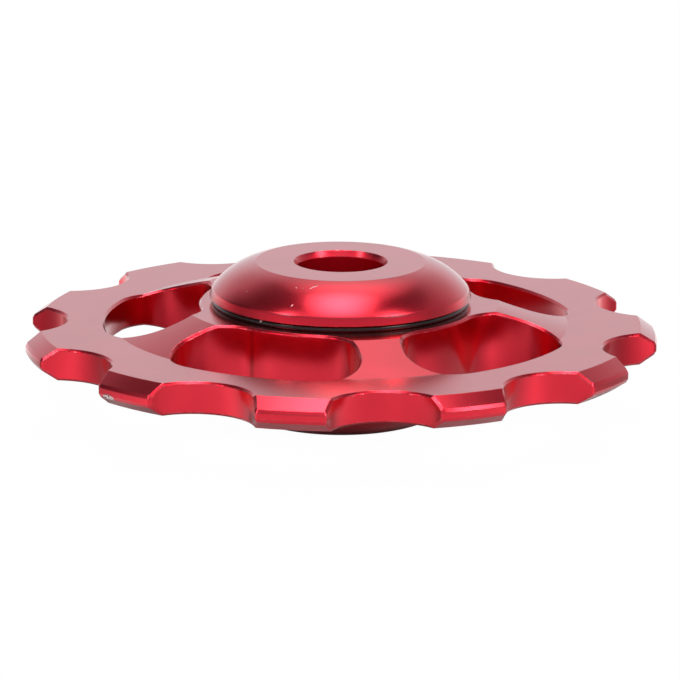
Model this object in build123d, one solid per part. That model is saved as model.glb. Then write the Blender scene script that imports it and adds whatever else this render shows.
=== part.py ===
from build123d import *
import math
import os

# Sizes are in millimetres and angles in degrees, counted from +X.
# The wheel turns about Z, and its mid-plane is z = 0.

# Clearances
fit_gap = 0.02            # radial room at fits that don't turn
race_room = 0.04          # between a ball and the races
pocket_room = 0.05        # between a ball and the cage
seal_lip_gap = 0.08       # between a bearing seal's lip and the inner ring
seal_ring_room = 0.04     # between a hub's rubber ring and the lip of the cap above it
spigot_gap = 0.1          # between the ends of the two caps' spigots

# Teeth, cut for a roller chain
tooth_count = 11
chain_pitch = 12.7
roller_diameter = 7.75
roller_room = 0.125       # between a roller and its seat
tip_drop = 1.04           # how far a tooth stops short of the pitch circle
tip_land = 0.7            # flat left between a tooth's two side chamfers
tip_chamfer = 1.1         # how far in from the tip the side chamfers reach
tooth_corner = 0.3        # rounding between a tooth's tip and its flanks
rim_thickness = 2.2
first_tooth_angle = -98.5

# Windows and dished spokes
spoke_count = 5
spoke_width = 3.2
first_spoke_angle = -76.9
rim_wall = 2.55           # from a window to the floor of a tooth gap
window_corner = 2.9
corner_land = 0.1         # least straight stretch left between two corners of a window
hub_wall = 1.55           # from the bearing bore to a window
hub_shelf = 1.18          # how far the hub's flat face runs out along a spoke
foot_inset = 0.54         # from a spoke's foot to the window's outer edge
hub_chamfer = 0.15
edge_break = 0.15         # small chamfer round the windows and the teeth

# Bearing, which comes to 8 by 16 by 5
axle_bore = 6.0
spigot_wall = 0.98
ball_count = 9
ball_diameter = 2.0
race_wall = 0.96          # ring thickness behind a race
shoulder_gap = 1.3        # radial gap between the two rings beside the balls
ring_chamfer = 0.15
cage_thickness = 0.2
cage_width = 0.9
cage_room = 0.6           # axial room between the cage and a seal
seal_thickness = 0.4
seal_inset = 0.25         # how deep a seal sits below the rings' faces
seal_seat = 0.25          # step in the outer ring that a seal rests on
bead_width = 0.2          # snap bead on a seal's rim
bead_depth = 0.3

# Dust caps, and the rubber rings that the hub carries under their lips
seal_ring_section = 0.5
groove_depth = 0.09       # how deep a rubber ring sits in the hub's face
ring_inset = 0.15         # from a rubber ring's outside to the lip's edge
lip_overhang = 0.87       # how far a cap reaches past the bearing
lip_height = 0.55
lip_taper = 0.17
lip_round = 0.7           # rounding between the lip's edge and the dome
dome_height = 1.82
dome_bulge = 0.3          # rise of the domed shoulder above a straight cone
cap_face_diameter = 11.5
mouth_flare = 0.2         # how much wider the bore's chamfered mouth is, on each side
mouth_depth = 0.4
boss_inset = 0.2          # from the cap's shoulder to the inner ring's edge

# Chain wheel radii
tooth_step = 360 / tooth_count
first_gap_angle = first_tooth_angle + tooth_step / 2
pitch_radius = chain_pitch / (2 * math.sin(math.radians(tooth_step / 2)))
seat_radius = roller_diameter / 2 + roller_room
root_radius = pitch_radius - seat_radius
tip_radius = pitch_radius - tip_drop
stock_land = tip_land / 2     # flat left on the blank, which is turned a little over size
stock_run = tip_chamfer * (tip_land - stock_land) / (rim_thickness - tip_land)

# Bearing radii and half width
ball_radius = ball_diameter / 2
race_radius = ball_radius + race_room
pocket_radius = ball_radius + pocket_room
bore_radius = axle_bore / 2
spigot_radius = bore_radius + spigot_wall
bearing_bore_radius = spigot_radius + fit_gap
ball_circle_radius = bearing_bore_radius + race_wall + race_radius
bearing_outer_radius = ball_circle_radius + race_radius + race_wall
inner_shoulder_radius = ball_circle_radius - shoulder_gap / 2
outer_shoulder_radius = ball_circle_radius + shoulder_gap / 2
seat_step_radius = outer_shoulder_radius + seal_seat
cage_height = pocket_radius + cage_thickness
seal_bottom = cage_height + cage_room
seal_top = seal_bottom + seal_thickness
half_width = seal_top + seal_inset

# Hub, window and spoke radii
hub_bore_radius = bearing_outer_radius + fit_gap
window_inner_radius = hub_bore_radius + hub_wall
window_outer_radius = root_radius - rim_wall
hub_face_radius = window_inner_radius + hub_shelf
spoke_foot_radius = window_outer_radius - foot_inset

# Cap radii and heights
ring_section_radius = seal_ring_section / 2
ring_height = half_width - groove_depth + ring_section_radius
lip_bottom = ring_height + ring_section_radius + seal_ring_room
lip_top = lip_bottom + lip_height
cap_top = lip_top + dome_height
lip_radius = bearing_outer_radius + lip_overhang
lip_edge_radius = lip_radius - lip_taper
ring_circle_radius = lip_radius - ring_inset - ring_section_radius
boss_radius = inner_shoulder_radius - boss_inset

ball_places = PolarLocations(ball_circle_radius, ball_count)


def turned(profile):
    """Solid of revolution about Z from a face drawn in radius and height."""
    return revolve(Plane.XZ * profile, Axis.Z)


def tube(inner_radius, outer_radius, height):
    """Plain ring standing on z = 0."""
    upright = (Align.CENTER, Align.CENTER, Align.MIN)
    return Cylinder(outer_radius, height, align=upright) - Cylinder(inner_radius, height, align=upright)


def both_sides(upper_points):
    """Face within its upper points and their mirror images below the mid-plane."""
    lower_points = [(radius, -height) for radius, height in reversed(upper_points)]
    return make_face(Polyline(*upper_points, *lower_points, close=True).edges())


def flipped(piece):
    """The same piece on the other side of the mid-plane."""
    return mirror(piece, about=Plane.XY)


def make_windows():
    """Rounded openings between the spokes, cut right through."""
    web = Circle(window_outer_radius) - Circle(window_inner_radius)
    bar = Pos(window_outer_radius, 0) * Rectangle(2 * window_outer_radius, spoke_width)
    bars = PolarLocations(0, spoke_count, start_angle=first_spoke_angle) * bar
    corner = min(window_corner, (window_outer_radius - window_inner_radius - corner_land) / 2)
    return extrude(fillet((web - bars).vertices(), corner), amount=cap_top, both=True)


def make_tooth_gaps():
    """All that is cut away round the tooth outline, whose corners are rounded."""
    seats = PolarLocations(pitch_radius, tooth_count, first_gap_angle) * Circle(seat_radius)
    outline = Rot(0, 0, first_gap_angle) * Circle(tip_radius) - seats
    outline = fillet(outline.vertices(), tooth_corner)
    return extrude(Circle(pitch_radius + seat_radius) - outline, amount=half_width, both=True)


def opened(solid, cutters):
    """The solid with openings cut through it and the sharp edges round them broken."""
    cut = solid - cutters
    sharp = new_edges(solid, *cutters, combined=cut).filter_by(Axis.Z, reverse=True)
    try:
        return chamfer(sharp, edge_break)
    except ValueError:
        # For some sizes the kernel only manages the same edges from last to first.
        return chamfer(sharp[::-1], edge_break)


def make_toothed_wheel():
    """Hub with a groove in each face, dished spokes and toothed rim, in one piece."""
    blank = turned(both_sides([
        (hub_bore_radius, half_width - hub_chamfer),
        (hub_bore_radius + hub_chamfer, half_width),
        (hub_face_radius, half_width),
        (spoke_foot_radius, rim_thickness / 2),
        (tip_radius - tip_chamfer, rim_thickness / 2),
        (tip_radius + stock_run, stock_land / 2),
    ]))
    groove = Pos(0, 0, ring_height) * Torus(ring_circle_radius, ring_section_radius + fit_gap)
    grooved = blank - groove - flipped(groove)
    seam_in_gap = Rot(0, 0, first_gap_angle) * grooved
    return opened(opened(seam_in_gap, make_windows().solids()), make_tooth_gaps().solids())


def make_race():
    """Round channel that the balls run in, cut from both bearing rings."""
    return Torus(ball_circle_radius, race_radius)


def make_bearing_outer_ring():
    """Outer ring with its race and a stepped, grooved seat for the seal on each side."""
    bead_bottom = seal_bottom + (seal_thickness - bead_width) / 2
    blank = turned(both_sides([
        (outer_shoulder_radius, seal_bottom),
        (seat_step_radius, seal_bottom),
        (seat_step_radius, bead_bottom - fit_gap),
        (seat_step_radius + bead_depth, bead_bottom - fit_gap),
        (seat_step_radius + bead_depth, bead_bottom + bead_width + fit_gap),
        (seat_step_radius, bead_bottom + bead_width + fit_gap),
        (seat_step_radius, half_width),
        (bearing_outer_radius - ring_chamfer, half_width),
        (bearing_outer_radius, half_width - ring_chamfer),
    ]))
    return blank - make_race()


def make_bearing_inner_ring():
    """Inner ring with its race, clamped between the shoulders of the two caps."""
    blank = turned(both_sides([
        (bearing_bore_radius, half_width - ring_chamfer),
        (bearing_bore_radius + ring_chamfer, half_width),
        (inner_shoulder_radius, half_width),
    ]))
    return blank - make_race()


def make_cage_half():
    """Upper half of the pressed ribbon cage, domed over each ball."""
    inner_radius = ball_circle_radius - cage_width / 2
    outer_radius = ball_circle_radius + cage_width / 2
    ribbon = tube(inner_radius, outer_radius, cage_thickness)
    room = tube(inner_radius, outer_radius, cage_height)
    for place in ball_places:
        ribbon += place * Sphere(cage_height) & room
    return ribbon - ball_places * Sphere(pocket_radius)


def make_bearing_seal():
    """Upper rubber seal, with a bead that snaps into the outer ring."""
    rim_radius = seat_step_radius - fit_gap
    bead_radius = rim_radius + bead_depth
    bead_bottom = seal_bottom + (seal_thickness - bead_width) / 2
    outline = Polyline(
        (inner_shoulder_radius + seal_lip_gap, seal_bottom),
        (rim_radius, seal_bottom),
        (rim_radius, bead_bottom),
        (bead_radius, bead_bottom),
        (bead_radius, bead_bottom + bead_width),
        (rim_radius, bead_bottom + bead_width),
        (rim_radius, seal_top),
        (inner_shoulder_radius + seal_lip_gap, seal_top),
        close=True,
    )
    return turned(make_face(outline.edges()))


def make_cap():
    """Upper dust cap: spigot, shoulder, lip, domed top and chamfered bore."""
    rim = (lip_edge_radius, lip_top)
    face = (cap_face_diameter / 2, cap_top)
    below = Polyline(
        (bore_radius, cap_top - mouth_depth),
        (bore_radius, spigot_gap / 2),
        (spigot_radius, spigot_gap / 2),
        (spigot_radius, half_width),
        (boss_radius, half_width),
        (boss_radius, lip_bottom),
        (lip_radius, lip_bottom),
        rim,
    )
    dome = SagittaArc(rim, face, -dome_bulge)
    above = Polyline(face, (bore_radius + mouth_flare, cap_top), (bore_radius, cap_top - mouth_depth))
    profile = make_face((below + dome + above).edges())
    lip_corner = profile.vertices().group_by(Axis.X)[-2]
    return turned(fillet(lip_corner, lip_round))


def make_seal_ring():
    """Upper rubber ring, in the groove in the hub's face."""
    return Pos(0, 0, ring_height) * Torus(ring_circle_radius, ring_section_radius)


def make_parts():
    """Every piece of the jockey wheel, by name."""
    cage_half = make_cage_half()
    seal = make_bearing_seal()
    cap = make_cap()
    seal_ring = make_seal_ring()
    parts = {
        "toothed_wheel": make_toothed_wheel(),
        "bearing_outer_ring": make_bearing_outer_ring(),
        "bearing_inner_ring": make_bearing_inner_ring(),
        "cage_half_upper": cage_half,
        "cage_half_lower": flipped(cage_half),
        "bearing_seal_upper": seal,
        "bearing_seal_lower": flipped(seal),
        "upper_cap": cap,
        "lower_cap": flipped(cap),
        "upper_seal_ring": seal_ring,
        "lower_seal_ring": flipped(seal_ring),
    }
    for number, place in enumerate(ball_places, start=1):
        parts[f"ball_{number}"] = place * Sphere(ball_radius)
    return parts


os.makedirs("parts", exist_ok=True)
for name, piece in make_parts().items():
    export_step(piece, f"parts/{name}.step")
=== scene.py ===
import math

import bpy
from mathutils import Matrix, Vector


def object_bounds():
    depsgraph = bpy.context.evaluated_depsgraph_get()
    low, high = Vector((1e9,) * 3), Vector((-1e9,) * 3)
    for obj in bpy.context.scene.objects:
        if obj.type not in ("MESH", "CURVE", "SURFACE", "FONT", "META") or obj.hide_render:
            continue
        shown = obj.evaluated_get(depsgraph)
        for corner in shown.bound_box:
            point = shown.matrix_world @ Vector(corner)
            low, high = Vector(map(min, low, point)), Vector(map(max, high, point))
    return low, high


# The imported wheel, and its box before it is dressed
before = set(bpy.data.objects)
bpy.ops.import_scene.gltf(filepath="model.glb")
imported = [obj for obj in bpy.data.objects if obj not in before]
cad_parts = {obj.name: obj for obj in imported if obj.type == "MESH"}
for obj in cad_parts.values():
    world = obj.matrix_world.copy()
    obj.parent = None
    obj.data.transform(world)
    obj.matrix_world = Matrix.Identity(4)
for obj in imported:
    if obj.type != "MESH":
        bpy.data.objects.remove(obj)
cad_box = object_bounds()

MM = 0.001

# Camera, as fitted to the photograph
CAMERA_DISTANCE = 382.1 * MM
CAMERA_ELEVATION = math.radians(14.08)
CAMERA_ROLL = math.radians(0.44)
LENS = 298.04                        # on a 36 mm sensor
CLIP_START = 10 * MM
AIM_HEIGHT = 1.1 * MM                # the rim's upper face
AIM_DROP = 1.256 * MM                # how far below that the middle of the picture lies

# Floor
FLOOR_SIZE = 1.2
FLOOR_WHITE = (0.95, 0.95, 0.95, 1)
FLOOR_ROUGHNESS = 0.8
FLOOR_WHITENESS = 0.985              # how far the camera sees the floor as plain white
SHADOW_GREY = (0.56, 0.56, 0.56, 1)  # the floor in reflections, in the wheel's shadow
SHADOW_EDGE = (19.5, 31)             # where that shadow fades out, in mm from the axle

# Brightness of the floor's glow, from in front of the wheel and behind it (0) to its sides (1)
FLOOR_GLOW = ((0.0, 1.0), (0.30, 0.91), (0.62, 1.0), (0.78, 1.3), (0.88, 0.95), (1.0, 0.40))

# Brightness of the room, from the horizon (0) to overhead (1)
ROOM_GREYS = ((0.0, 0.82), (0.30, 0.80), (0.45, 0.65), (0.62, 0.55), (0.75, 0.22), (1.0, 0.15))

# Share of that brightness, from the left (0) to the right (1)
SIDE_SHADES = ((0.0, 0.8), (0.2, 0.92), (0.4, 1.0), (0.8, 1.0), (1.0, 0.6))

# Share of that brightness on the camera's side, and the Y of the directions over which the rest comes back
FRONT_SHADE = 0.72
FRONT_REACH = (-0.7, 0.2)

# Dark corner of the room: direction, half sizes, turn in degrees, and how much of it is full
DARK_CORNER = ((-0.85, 0.25, 0.35), (0.55, 0.55, 0.75), 0, 0.3)
DARK_CORNER_DEPTH = 0.8

# Tints of the greys
COOL = (0.92, 1.02, 1.06)
WHITE = (1, 1, 1)

# Soft lights: place, width and length, and how bright the brightest place looks
TOP_LIGHT = ((0, -0.025, 0.30), (0.23, 0.30), 5.4)
CANOPY_LIGHT = ((0.02, 0.135, 0.305), (0.28, 0.40), 1.65)
FRONT_LIGHT = ((0, -0.20, 0.33), (0.60, 0.42), 1.5)
SIDE_LIGHT = (0.2325, -0.1134, 0.331)
RIGHT_SIZE = (0.24, 0.44)
LEFT_SIZE = (0.15, 0.36)
SIDE_BRIGHTNESS = 6.0

# The way their length runs
DEPTH = (0, 1, 0)
SIDE_LEAN = (0.125, -0.223, -0.243)

# Brightest place on a light, across and along it, and how far from it the light fades
MIDDLE = (0.5, 0.5, 0)
NEAR_LOW_END = (0.5, 0.78, 0)
LIGHT_FADE = (0.1, 0.5)

# Shading of the solids
CREASE = math.radians(10.5)          # greatest angle that still shades as one smooth surface
ROUND = math.radians(60)             # the same on balls and rubber rings
WELD_GAP = 0.001 * MM                # corners closer than this shade as one

# Colours, linear
RED = (0.74, 0.009, 0.032, 1)
DEEP_RED = (0.67, 0.006, 0.025, 1)
# Lighter colour of the edges: partly real edge wear, partly a painted highlight along the edges
WORN_RED_AND_EDGE_HIGHLIGHT = (0.86, 0.22, 0.25, 1)
TOOL_MARK_RED = (0.40, 0.004, 0.014, 1)
NICK_PINK = (0.92, 0.42, 0.44, 1)
BARE_METAL = (0.90, 0.82, 0.80, 1)
SCRATCH_DARK = (0.10, 0.03, 0.03, 1)
DUST_GREY = (0.06, 0.055, 0.05, 1)

# Colour and roughness of the rubber and steel pieces
RING_RUBBER = ((0.012, 0.007, 0.006, 1), 0.12)
SEAL_RUBBER = ((0.02, 0.02, 0.02, 1), 0.5)
RACE_STEEL = ((0.62, 0.62, 0.63, 1), 0.25)
CAGE_STEEL = ((0.55, 0.54, 0.52, 1), 0.35)
BALL_STEEL = ((0.75, 0.75, 0.76, 1), 0.1)
RUBBER_IOR = 1.5
GROUND_SHADE = 0.85                  # share of its colour that steel keeps in its grinding marks

# Anodised surface
ANODISED_ROUGHNESS = 0.22
REAMED_ROUGHNESS = 0.42              # inside the axle bore
BORE_EDGE = (3.05, 3.25)             # radii in mm between which the bore goes over into a cap's face
COAT_IOR = 1.37
COAT_ROUGHNESS = 0.18
LIP_TOP = (3.44, 3.57)               # heights in mm between which a cap's lip goes over into its dome
LIP_SLOPE = 0.4                      # how much of the lip's slope its turned surface shows
EDGE_ROUND = 0.12 * MM               # how far the look of an edge is softened
EDGE_SAMPLES = 6
EDGE_TURN = (0.99, 0.9)              # cosines of the softened turn, where wear and the painted edge highlight start and where they are full

# Random patterns, in cells in a millimetre
GRAIN = 9.0
GRINDING = 8.0
SMEARS = 6.0
CRUMBS = 6.5
CRUMB_DETAIL = (4.0, 0.7)            # detail and roughness of the pattern
CRUMB_EDGE = (0.46, 0.52)            # values of the pattern between which a crumb starts
USUAL_VALUES = (0.3, 0.7)            # where most values of such a pattern lie

# Random patches: cells in a millimetre, values where they start and are full, and how strong they are
DYE_PATCHES = (0.22, 0.35, 0.65, 1.0)
# Patches that break up the worn edges and their painted highlight
WEAR_AND_HIGHLIGHT_PATCHES = (2.5, 0.48, 0.60, 0.9)
DUST_PATCHES = (3.0, 0.55, 0.8, 0.5)

# How far such a pattern takes the roughness up and down
GRAIN_SPREAD = 0.04
SMEAR_SPREAD = 0.06
GRINDING_SPREAD = 0.05

# Relief, as depth and strength
GRAIN_RELIEF = (0.001 * MM, 0.3)
CHIP_RELIEF = (0.06 * MM, 0.8)
SCRATCH_STRENGTH = 0.6

# Marks: middle, half sizes in mm and turn about Z in degrees; the tool mark has also how much of it is full
CHIP = ((-15.14, -15.26, -0.36), (0.58, 0.7, 0.28), -42)
DOME_NICKS = (
    ((-1.75, -6.36, 5.0), (0.40, 0.07, 0.6), 27),
    ((-2.95, -6.18, 5.0), (0.07, 0.07, 0.6), 0),
    ((-2.51, -6.37, 5.0), (0.06, 0.06, 0.6), 0),
    ((-3.23, -7.53, 4.2), (0.13, 0.06, 0.6), 40),
    ((-6.25, -4.75, 4.4), (0.05, 0.05, 0.6), 0),
)
TOOL_MARK = ((-5.86, -7.57, 0.0), (0.22, 0.6, 3.0), 0, 0.2)
RING_SPECK = ((-5.25, -6.85, 2.8), (0.10, 0.10, 0.2), 0)

# Sockets of a mix node that hold colours
MIX_FIRST = 6
MIX_SECOND = 7
MIX_RESULT = 2


def new_material(name):
    """Material with a plain Principled surface, and its node tree and surface node."""
    material = bpy.data.materials.new(name)
    material.use_nodes = True
    tree = material.node_tree
    return material, tree, tree.nodes["Principled BSDF"]


def feed(tree, socket, value):
    """Give a socket a fixed value, or link it to another node's output."""
    if isinstance(value, bpy.types.NodeSocket):
        tree.links.new(value, socket)
    else:
        socket.default_value = value


def add(tree, kind, **values):
    """New node with the given inputs, by name."""
    node = tree.nodes.new(kind)
    for name, value in values.items():
        feed(tree, node.inputs[name.replace("_", " ")], value)
    return node


def combine(tree, operation, *values):
    """Result of arithmetic on one or two numbers."""
    node = tree.nodes.new("ShaderNodeMath")
    node.operation = operation
    for socket, value in zip(node.inputs, values):
        feed(tree, socket, value)
    return node.outputs[0]


def vector_math(tree, operation, *values):
    """Outputs of arithmetic on one or two vectors."""
    node = tree.nodes.new("ShaderNodeVectorMath")
    node.operation = operation
    for socket, value in zip(node.inputs, values):
        feed(tree, socket, value)
    return node.outputs


def parts_of(tree, vector):
    """The X, Y and Z of a vector."""
    return add(tree, "ShaderNodeSeparateXYZ", Vector=vector).outputs


def millimetres(tree):
    """Place on the object, in millimetres."""
    place = tree.nodes.new("ShaderNodeTexCoord").outputs["Object"]
    return vector_math(tree, "MULTIPLY", place, (1 / MM, 1 / MM, 1 / MM))["Vector"]


def from_axle(tree, place):
    """Distance from the wheel's axis."""
    flat = vector_math(tree, "MULTIPLY", place, (1, 1, 0))["Vector"]
    return vector_math(tree, "LENGTH", flat)["Value"]


def ranged(tree, value, low, high, to_low, to_high):
    """A value's range from low to high spread over another range."""
    node = add(tree, "ShaderNodeMapRange", Value=value, From_Min=low, From_Max=high,
               To_Min=to_low, To_Max=to_high)
    return node.outputs["Result"]


def noise(tree, place, cells, detail=3.0, roughness=0.55):
    """Soft random pattern, 0 to 1, with about the given number of cells in a millimetre."""
    node = add(tree, "ShaderNodeTexNoise", Vector=place, Scale=cells, Detail=detail, Roughness=roughness)
    return node.outputs["Fac"]


def patches(tree, place, cells, start, full, strength):
    """Random patches, from 0 outside them to the given strength."""
    return ranged(tree, noise(tree, place, cells), start, full, 0, strength)


def spot(tree, place, middle, half_sizes, turn, core=0.7):
    """1 inside a small oval at a place on the object, fading from its core to 0 at its edge."""
    angles = (0, 0, math.radians(turn))
    local = add(tree, "ShaderNodeMapping", Vector=place, Location=middle, Rotation=angles, Scale=half_sizes)
    local.vector_type = "TEXTURE"
    away = vector_math(tree, "LENGTH", local.outputs["Vector"])["Value"]
    return ranged(tree, away, core, 1, 1, 0)


def any_spot(tree, place, spots):
    """1 inside any of several spots."""
    inside = spot(tree, place, *spots[0])
    for other in spots[1:]:
        inside = combine(tree, "MAXIMUM", inside, spot(tree, place, *other))
    return inside


def uneven(tree, pattern, roughness, spread):
    """Roughness that follows a pattern."""
    return ranged(tree, pattern, *USUAL_VALUES, roughness - spread, roughness + spread)


def blend(tree, amount, first, second):
    """Colour between two colours, each a fixed colour or another node's."""
    node = tree.nodes.new("ShaderNodeMix")
    node.data_type = "RGBA"
    feed(tree, node.inputs["Factor"], amount)
    feed(tree, node.inputs[MIX_FIRST], first)
    feed(tree, node.inputs[MIX_SECOND], second)
    return node.outputs[MIX_RESULT]


def bump(tree, height, depth, strength, under):
    """Normal with relief from a height pattern, on top of another normal."""
    node = add(tree, "ShaderNodeBump", Height=height, Distance=depth, Strength=strength, Normal=under)
    return node.outputs["Normal"]


def shades(tree, value, stops, tint):
    """Tinted greys along a value from 0 to 1."""
    ramp = add(tree, "ShaderNodeValToRGB", Fac=value)
    elements = ramp.color_ramp.elements
    for stop in stops[1:-1]:
        elements.new(stop[0])
    for element, (place, grey) in zip(elements, stops):
        element.position = place
        element.color = (*(grey * channel for channel in tint), 1)
    return ramp.outputs["Color"]


def mix_shader(tree, amount, first, second):
    """Shader node between two others."""
    node = add(tree, "ShaderNodeMixShader", Fac=amount)
    tree.links.new(first.outputs[0], node.inputs[1])
    tree.links.new(second.outputs[0], node.inputs[2])
    return node


def soft_edges(tree):
    """Normal that rounds the edges a little, and how near an edge is, 0 to 1."""
    bevel = add(tree, "ShaderNodeBevel", Radius=EDGE_ROUND)
    bevel.samples = EDGE_SAMPLES
    rounded = bevel.outputs["Normal"]
    plain = tree.nodes.new("ShaderNodeNewGeometry").outputs["Normal"]
    turn = vector_math(tree, "DOT_PRODUCT", rounded, plain)["Value"]
    return rounded, ranged(tree, turn, *EDGE_TURN, 0, 1)


def upright_lip(tree, place, normal):
    """Normal of a cap, stood straighter below its dome, where the lip is turned with a steep tool."""
    height = combine(tree, "ABSOLUTE", parts_of(tree, place)["Z"])
    parts = parts_of(tree, normal)
    slope = combine(tree, "MULTIPLY", parts["Z"], ranged(tree, height, *LIP_TOP, LIP_SLOPE, 1))
    steeper = add(tree, "ShaderNodeCombineXYZ", X=parts["X"], Y=parts["Y"], Z=slope)
    return vector_math(tree, "NORMALIZE", steeper.outputs["Vector"])["Vector"]


def anodised(name, chips, chip_colour, has_lip=False):
    """Red anodised aluminium with a fine grain, uneven dye, worn edges with a painted edge highlight, and
    chips.
    """
    material, tree, surface = new_material(name)
    place = millimetres(tree)
    grain = noise(tree, place, GRAIN)
    crumbs = noise(tree, place, CRUMBS, *CRUMB_DETAIL)
    normal, edge = soft_edges(tree)
    # Where edges turn lighter: partly real wear, partly a painted highlight along the edges
    wear_and_highlight = combine(tree, "MULTIPLY", edge, patches(tree, place, *WEAR_AND_HIGHLIGHT_PATCHES))
    chipped = any_spot(tree, place, chips)
    bare = combine(tree, "MULTIPLY", chipped, ranged(tree, crumbs, *CRUMB_EDGE, 0, 1))

    colour = blend(tree, patches(tree, place, *DYE_PATCHES), RED, DEEP_RED)
    colour = blend(tree, spot(tree, place, *TOOL_MARK), colour, TOOL_MARK_RED)
    # Lighter edges: partly worn anodising, partly painted highlight
    colour = blend(tree, wear_and_highlight, colour, WORN_RED_AND_EDGE_HIGHLIGHT)
    colour = blend(tree, combine(tree, "MULTIPLY", chipped, SCRATCH_STRENGTH), colour, SCRATCH_DARK)
    colour = blend(tree, bare, colour, chip_colour)
    feed(tree, surface.inputs["Base Color"], colour)

    fine = uneven(tree, grain, ANODISED_ROUGHNESS, GRAIN_SPREAD)
    reamed = ranged(tree, from_axle(tree, place), *BORE_EDGE, REAMED_ROUGHNESS, 0)
    feed(tree, surface.inputs["Roughness"], combine(tree, "MAXIMUM", fine, reamed))

    if has_lip:
        normal = upright_lip(tree, place, normal)
    normal = bump(tree, grain, *GRAIN_RELIEF, normal)
    normal = bump(tree, combine(tree, "MULTIPLY", chipped, crumbs), *CHIP_RELIEF, normal)
    feed(tree, surface.inputs["Normal"], normal)

    surface.inputs["Metallic"].default_value = 1
    surface.inputs["Coat Weight"].default_value = 1
    surface.inputs["Coat IOR"].default_value = COAT_IOR
    surface.inputs["Coat Roughness"].default_value = COAT_ROUGHNESS
    return material


def rubber(name, colour, roughness):
    """Black rubber with a little dust and one pale speck."""
    material, tree, surface = new_material(name)
    place = millimetres(tree)
    dusty = blend(tree, patches(tree, place, *DUST_PATCHES), colour, DUST_GREY)
    feed(tree, surface.inputs["Base Color"], blend(tree, spot(tree, place, *RING_SPECK), dusty, BARE_METAL))
    smears = noise(tree, place, SMEARS)
    feed(tree, surface.inputs["Roughness"], uneven(tree, smears, roughness, SMEAR_SPREAD))
    surface.inputs["IOR"].default_value = RUBBER_IOR
    return material


def steel(name, colour, roughness):
    """Bare steel with fine grinding marks."""
    material, tree, surface = new_material(name)
    marks = noise(tree, millimetres(tree), GRINDING)
    darker = tuple(GROUND_SHADE * channel for channel in colour[:3]) + (1,)
    feed(tree, surface.inputs["Base Color"], blend(tree, marks, colour, darker))
    feed(tree, surface.inputs["Roughness"], uneven(tree, marks, roughness, GRINDING_SPREAD))
    surface.inputs["Metallic"].default_value = 1
    return material


def dress(node, material, crease):
    """Material and smooth shading for a CAD node, without moving it."""
    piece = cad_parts[node]
    piece.data.materials.clear()
    piece.data.materials.append(material)
    piece.data.shade_smooth()
    weld = piece.modifiers.new("joined", "WELD")
    weld.merge_threshold = WELD_GAP
    split = piece.modifiers.new("creases", "EDGE_SPLIT")
    split.split_angle = crease


def dress_all():
    """A finish for every piece."""
    wheel_red = anodised("wheel_anodised", (CHIP,), BARE_METAL)
    cap_red = anodised("cap_anodised", DOME_NICKS, NICK_PINK, has_lip=True)
    ring_black = rubber("ring_rubber", *RING_RUBBER)
    seal_black = rubber("seal_rubber", *SEAL_RUBBER)
    race_steel = steel("bearing_steel", *RACE_STEEL)
    cage_steel = steel("cage_steel", *CAGE_STEEL)
    ball_steel = steel("ball_steel", *BALL_STEEL)
    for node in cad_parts:
        if node.startswith("ball_"):
            dress(node, ball_steel, ROUND)
        elif node.startswith("cage"):
            dress(node, cage_steel, CREASE)
        elif node.startswith("bearing_seal"):
            dress(node, seal_black, CREASE)
        elif node.startswith("bearing"):
            dress(node, race_steel, CREASE)
        elif node.endswith("seal_ring"):
            dress(node, ring_black, ROUND)
        elif node.endswith("cap"):
            dress(node, cap_red, CREASE)
        else:
            dress(node, wheel_red, CREASE)


def floor_material():
    """White to the camera; in reflections it glows around the wheel's shadow."""
    material, tree, surface = new_material("floor")
    surface.inputs["Roughness"].default_value = FLOOR_ROUGHNESS
    surface.inputs["Specular IOR Level"].default_value = 0
    rays = tree.nodes.new("ShaderNodeLightPath").outputs
    mirrored = combine(tree, "MAXIMUM", rays["Is Glossy Ray"], rays["Is Transmission Ray"])
    feed(tree, surface.inputs["Base Color"], blend(tree, mirrored, FLOOR_WHITE, SHADOW_GREY))

    place = millimetres(tree)
    away = from_axle(tree, place)
    sideways = combine(tree, "ABSOLUTE", combine(tree, "DIVIDE", parts_of(tree, place)["X"], away))
    glow = add(tree, "ShaderNodeEmission", Color=shades(tree, sideways, FLOOR_GLOW, WHITE), Strength=1)
    glowing = combine(tree, "MULTIPLY", mirrored, ranged(tree, away, *SHADOW_EDGE, 0, 1))
    white = add(tree, "ShaderNodeEmission", Strength=1)
    seen = combine(tree, "MULTIPLY", rays["Is Camera Ray"], FLOOR_WHITENESS)
    shader = mix_shader(tree, seen, mix_shader(tree, glowing, surface, glow), white)
    tree.links.new(shader.outputs[0], tree.nodes["Material Output"].inputs["Surface"])
    return material


def make_floor():
    """White floor that the lower cap rests on."""
    bottom = cad_box[0][2]
    bpy.ops.mesh.primitive_plane_add(size=FLOOR_SIZE, location=(0, 0, bottom))
    floor = bpy.context.object
    floor.name = "floor"
    floor.data.materials.append(floor_material())


def make_world():
    """Cool room, pale low down and darker overhead, at the sides, towards the camera and in one corner."""
    world = bpy.data.worlds.new("studio")
    bpy.context.scene.world = world
    world.use_nodes = True
    tree = world.node_tree
    background = tree.nodes["Background"]
    direction = tree.nodes.new("ShaderNodeTexCoord").outputs["Generated"]
    parts = parts_of(tree, direction)
    feed(tree, background.inputs["Color"], shades(tree, parts["Z"], ROOM_GREYS, COOL))
    front = ranged(tree, parts["Y"], *FRONT_REACH, FRONT_SHADE, 1)
    sides = shades(tree, ranged(tree, parts["X"], -1, 1, 0, 1), SIDE_SHADES, WHITE)
    corner = ranged(tree, spot(tree, direction, *DARK_CORNER), 0, 1, 1, 1 - DARK_CORNER_DEPTH)
    around = combine(tree, "MULTIPLY", front, sides)
    feed(tree, background.inputs["Strength"], combine(tree, "MULTIPLY", around, corner))


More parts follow.
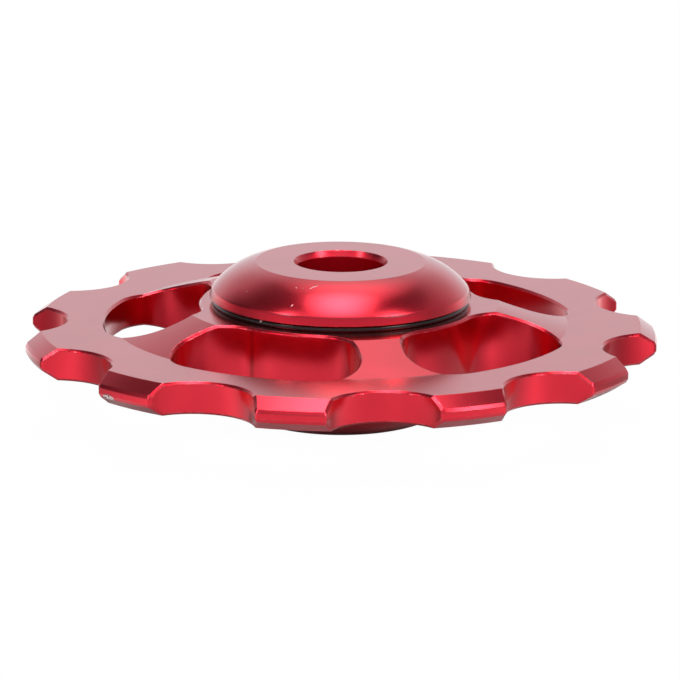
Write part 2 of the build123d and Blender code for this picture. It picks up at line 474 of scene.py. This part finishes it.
def make_softbox(name, place, size, brightness, along=DEPTH, brightest=MIDDLE):
    """Oval light that faces the object, has its length along a direction and fades from one place."""
    width, length = size
    area = math.pi / 4 * width * length
    light = bpy.data.lights.new(name, "AREA")
    light.shape = "ELLIPSE"
    light.size = width
    light.size_y = length
    light.energy = brightness * math.pi * area
    light.use_nodes = True
    tree = light.node_tree
    spread = tree.nodes.new("ShaderNodeNewGeometry").outputs["Parametric"]
    away = vector_math(tree, "DISTANCE", spread, brightest)["Value"]
    feed(tree, tree.nodes["Emission"].inputs["Strength"], ranged(tree, away, *LIGHT_FADE, 1, 0))
    lamp = bpy.data.objects.new(name, light)
    back = Vector(place).normalized()
    across = Vector(along).cross(back).normalized()
    turned = Matrix((across, back.cross(across), back)).transposed().to_4x4()
    lamp.matrix_world = Matrix.Translation(place) @ turned
    bpy.context.collection.objects.link(lamp)


def make_lights():
    """Soft lights overhead, behind, in front and at both sides, all from above."""
    make_softbox("top_light", *TOP_LIGHT)
    make_softbox("canopy_light", *CANOPY_LIGHT)
    make_softbox("front_light", *FRONT_LIGHT)
    for name, side, size in (("right_light", 1, RIGHT_SIZE), ("left_light", -1, LEFT_SIZE)):
        flip = Vector((side, 1, 1))
        place = flip * Vector(SIDE_LIGHT)
        lean = flip * Vector(SIDE_LEAN)
        make_softbox(name, place, size, SIDE_BRIGHTNESS, lean, NEAR_LOW_END)


def make_camera():
    """Camera at the photograph's place and angle."""
    aim = Vector((0, 0, AIM_HEIGHT))
    towards = Vector((0, math.cos(CAMERA_ELEVATION), -math.sin(CAMERA_ELEVATION)))
    eye = aim - CAMERA_DISTANCE * towards
    level = Vector((1, 0, 0))
    upright = level.cross(towards)
    middle = aim - AIM_DROP * upright
    towards = (middle - eye).normalized()
    upright = level.cross(towards)
    right = math.cos(CAMERA_ROLL) * level + math.sin(CAMERA_ROLL) * upright
    up = right.cross(towards)
    camera = bpy.data.objects.new("camera", bpy.data.cameras.new("camera"))
    camera.matrix_world = Matrix.Translation(eye) @ Matrix((right, up, -towards)).transposed().to_4x4()
    camera.data.lens = LENS
    camera.data.clip_start = CLIP_START
    bpy.context.collection.objects.link(camera)
    bpy.context.scene.camera = camera


dress_all()
make_floor()
make_world()
make_lights()
make_camera()
bpy.context.scene.view_settings.view_transform = "Standard"
